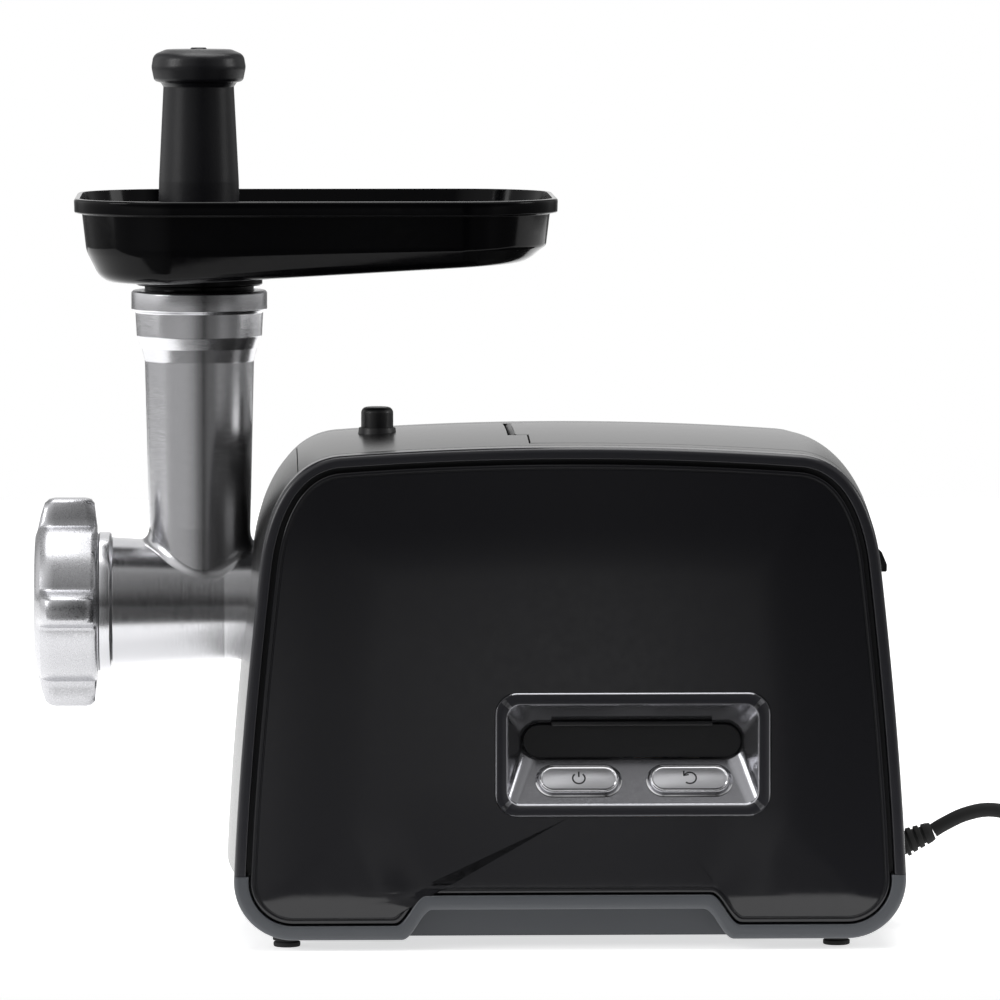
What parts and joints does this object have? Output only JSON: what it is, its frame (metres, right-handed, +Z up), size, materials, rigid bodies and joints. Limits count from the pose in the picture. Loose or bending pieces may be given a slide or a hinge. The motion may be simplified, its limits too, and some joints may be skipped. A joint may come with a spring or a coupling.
{
  "type": "electric meat grinder",
  "caption": "Countertop meat grinder: glossy motor base with a detachable auger head, hopper tray, pusher, plate storage and mains lead.",
  "frame": {"origin": "on the resting plane, under the middle of the machine's own box without the mains lead", "axes": "+Z up, -X towards the grinding head, -Y towards the control side"},
  "size_m": [0.5551, 0.1722, 0.3784],
  "materials": {
    "casing_gloss": "piano black gloss, slightly smoky",
    "frame_gloss": "deep black gloss with rounded edges",
    "cover_gloss": "black gloss that mirrors its surroundings",
    "trim_grey": "satin charcoal trim",
    "rubber": "matt black rubber",
    "black_plastic": "satin black",
    "tray_black": "black gloss moulding",
    "pusher_black": "satin black with fine moulding grain",
    "bezel_chrome": "bright plated frame, dark inside",
    "button_steel": "brushed, with bright rims",
    "steel": "ground steel",
    "grey_plastic": "glass filled grey",
    "nylon": "natural nylon",
    "brass": "plain",
    "copper": "varnished copper",
    "lamination": "stacked steel laminations",
    "board_green": "fibre glass board",
    "polished_aluminium": "polished casting"
  },
  "bodies": {
    "root": {"side_panel_near": "casing_gloss", "side_panel_far": "casing_gloss", "side_frame_near": "frame_gloss", "side_frame_far": "frame_gloss", "front_fascia": "cover_gloss", "top_cover": "cover_gloss", "rear_cover": "cover_gloss", "base": "trim_grey", "foot_front_far": "rubber", "foot_front_near": "rubber", "foot_rear_far": "rubber", "foot_rear_near": "rubber", "strain_relief": "rubber", "mains_cord": "rubber", "cord_coil": "rubber", "mains_plug": "rubber", "storage_bin": "black_plastic", "power_switch": "black_plastic", "reverse_switch": "black_plastic", "coil_tie": "black_plastic", "control_bezel": "bezel_chrome", "lid_hinge_pin": "steel", "lock_spring": "steel", "second_gear_pin": "steel", "first_gear_pin": "steel", "motor_bracket_front": "steel", "motor_bracket_rear": "steel", "spare_plate_fine": "steel", "spare_plate_coarse": "steel", "head_socket": "grey_plastic", "gearbox_housing": "grey_plastic", "gearbox_cover": "grey_plastic", "output_bush": "brass", "bearing_front": "brass", "bearing_rear": "brass", "brush_holder_near": "brass", "brush_holder_far": "brass", "field_coil_upper": "copper", "field_coil_lower": "copper", "stator_core": "lamination", "control_board": "board_green"},
    "head": {"head_barrel": "polished_aluminium"},
    "drive": {"output_gear": "nylon", "auger": "polished_aluminium", "knife": "steel"},
    "second": {"second_gear": "nylon"},
    "first": {"first_gear": "nylon"},
    "rotor": {"rotor_core": "lamination", "rotor_shaft": "steel", "commutator": "copper", "cooling_fan": "nylon"},
    "plate": {"cutting_plate": "steel"},
    "nut": {"ring_nut": "polished_aluminium"},
    "tray": {"hopper_tray": "tray_black"},
    "pusher": {"pusher": "pusher_black"},
    "lid": {"storage_lid": "cover_gloss"},
    "lock": {"lock_button": "black_plastic", "lock_yoke": "grey_plastic"},
    "power": {"power_button": "button_steel"},
    "reverse": {"reverse_button": "button_steel"}
  },
  "joints": [
    {"name": "head_turn", "type": "hinge", "parent": "root", "child": "head", "pos_m": [-0.1, 0, 0.1405], "axis": [-1, 0, 0], "range_deg": [0, 40]},
    {"name": "auger_spin", "type": "hinge", "parent": "root", "child": "drive", "pos_m": [-0.1, 0, 0.1405], "axis": [1, 0, 0], "continuous": true},
    {"name": "second_gear_spin", "type": "hinge", "parent": "root", "child": "second", "pos_m": [0, -0.01165, 0.09703], "axis": [1, 0, 0], "continuous": true},
    {"name": "first_gear_spin", "type": "hinge", "parent": "root", "child": "first", "pos_m": [0, 0.00883, 0.08269], "axis": [1, 0, 0], "continuous": true},
    {"name": "rotor_spin", "type": "hinge", "parent": "root", "child": "rotor", "pos_m": [0.05, 0.02763, 0.07585], "axis": [1, 0, 0], "continuous": true},
    {"name": "nut_turn", "type": "hinge", "parent": "plate", "child": "nut", "pos_m": [-0.175, 0, 0.1405], "axis": [-1, 0, 0], "range_deg": [0, 1080]},
    {"name": "plate_slide", "type": "slide", "parent": "head", "child": "plate", "axis": [-1, 0, 0], "range_m": [0, 0.012]},
    {"name": "tray_lift", "type": "slide", "parent": "head", "child": "tray", "axis": [0, 0, 1], "range_m": [0, 0.04]},
    {"name": "pusher_lift", "type": "slide", "parent": "head", "child": "pusher", "axis": [0, 0, 1], "range_m": [0, 0.16]},
    {"name": "lid_hinge", "type": "hinge", "parent": "root", "child": "lid", "pos_m": [0.01929, 0, 0.2124], "axis": [0, -1, 0], "range_deg": [0, 68]},
    {"name": "lock_press", "type": "slide", "parent": "root", "child": "lock", "axis": [0, 0, -1], "range_m": [0, 0.004], "stiffness_N_per_m": 600, "springref_m": -0.003, "deforming": ["lock_spring"]},
    {"name": "power_press", "type": "slide", "parent": "root", "child": "power", "axis": [0, 0.8008, -0.5989], "range_m": [0, 0.0015], "stiffness_N_per_m": 600, "springref_m": -0.002},
    {"name": "reverse_press", "type": "slide", "parent": "root", "child": "reverse", "axis": [0, 0.8008, -0.5989], "range_m": [0, 0.0015], "stiffness_N_per_m": 600, "springref_m": -0.002}
  ],
  "couplings": [
    {"joint": "second_gear_spin", "follows": "auger_spin", "ratio": -4},
    {"joint": "first_gear_spin", "follows": "auger_spin", "ratio": 16},
    {"joint": "rotor_spin", "follows": "auger_spin", "ratio": -64},
    {"joint": "plate_slide", "follows": "nut_turn", "m_per_rad": 0.0006366}
  ]
}
